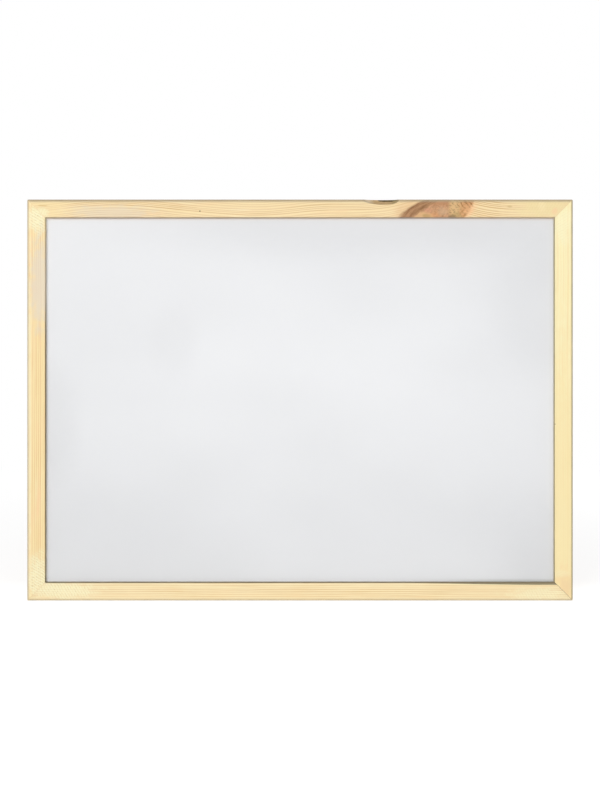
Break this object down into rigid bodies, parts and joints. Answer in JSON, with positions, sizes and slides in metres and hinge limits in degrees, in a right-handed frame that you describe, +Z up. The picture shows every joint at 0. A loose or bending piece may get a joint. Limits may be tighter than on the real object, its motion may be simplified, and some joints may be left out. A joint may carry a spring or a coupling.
{
  "type": "framed whiteboard",
  "caption": "Wall whiteboard: a white lacquered steel sheet on a hardboard back, held in a mitred, rebated pine frame with toothed hangers behind its top rail.",
  "frame": {"origin": "middle of the bottom rail's underside, at the middle of the rails' depth", "axes": "+Z up, the writing side faces -Y, +X to the right of someone who faces the writing side"},
  "size_m": [0.6, 0.0193, 0.441],
  "materials": {
    "pine": "planed, clear satin, unstained",
    "white_lacquer": "white dry-erase lacquer, satin gloss",
    "hardboard": "brown, mesh texture",
    "zinc_plate": "bright zinc plate"
  },
  "bodies": {
    "root": {"top_rail": "pine", "bottom_rail": "pine", "left_stile": "pine", "right_stile": "pine", "writing_sheet": "white_lacquer", "hardboard_back": "hardboard", "framing_point_top_rail_1": "zinc_plate", "framing_point_top_rail_2": "zinc_plate", "framing_point_top_rail_3": "zinc_plate", "framing_point_top_rail_4": "zinc_plate", "framing_point_bottom_rail_1": "zinc_plate", "framing_point_bottom_rail_2": "zinc_plate", "framing_point_bottom_rail_3": "zinc_plate", "framing_point_bottom_rail_4": "zinc_plate", "framing_point_left_stile_1": "zinc_plate", "framing_point_left_stile_2": "zinc_plate", "framing_point_left_stile_3": "zinc_plate", "framing_point_right_stile_1": "zinc_plate", "framing_point_right_stile_2": "zinc_plate", "framing_point_right_stile_3": "zinc_plate", "v_nail_top_rail_1": "zinc_plate", "v_nail_top_rail_2": "zinc_plate", "v_nail_right_stile_1": "zinc_plate", "v_nail_right_stile_2": "zinc_plate", "v_nail_bottom_rail_1": "zinc_plate", "v_nail_bottom_rail_2": "zinc_plate", "v_nail_left_stile_1": "zinc_plate", "v_nail_left_stile_2": "zinc_plate", "sawtooth_hanger_left": "zinc_plate", "sawtooth_hanger_right": "zinc_plate", "hanger_nail_left_1": "zinc_plate", "hanger_nail_left_2": "zinc_plate", "hanger_nail_right_1": "zinc_plate", "hanger_nail_right_2": "zinc_plate"}
  },
  "joints": []
}
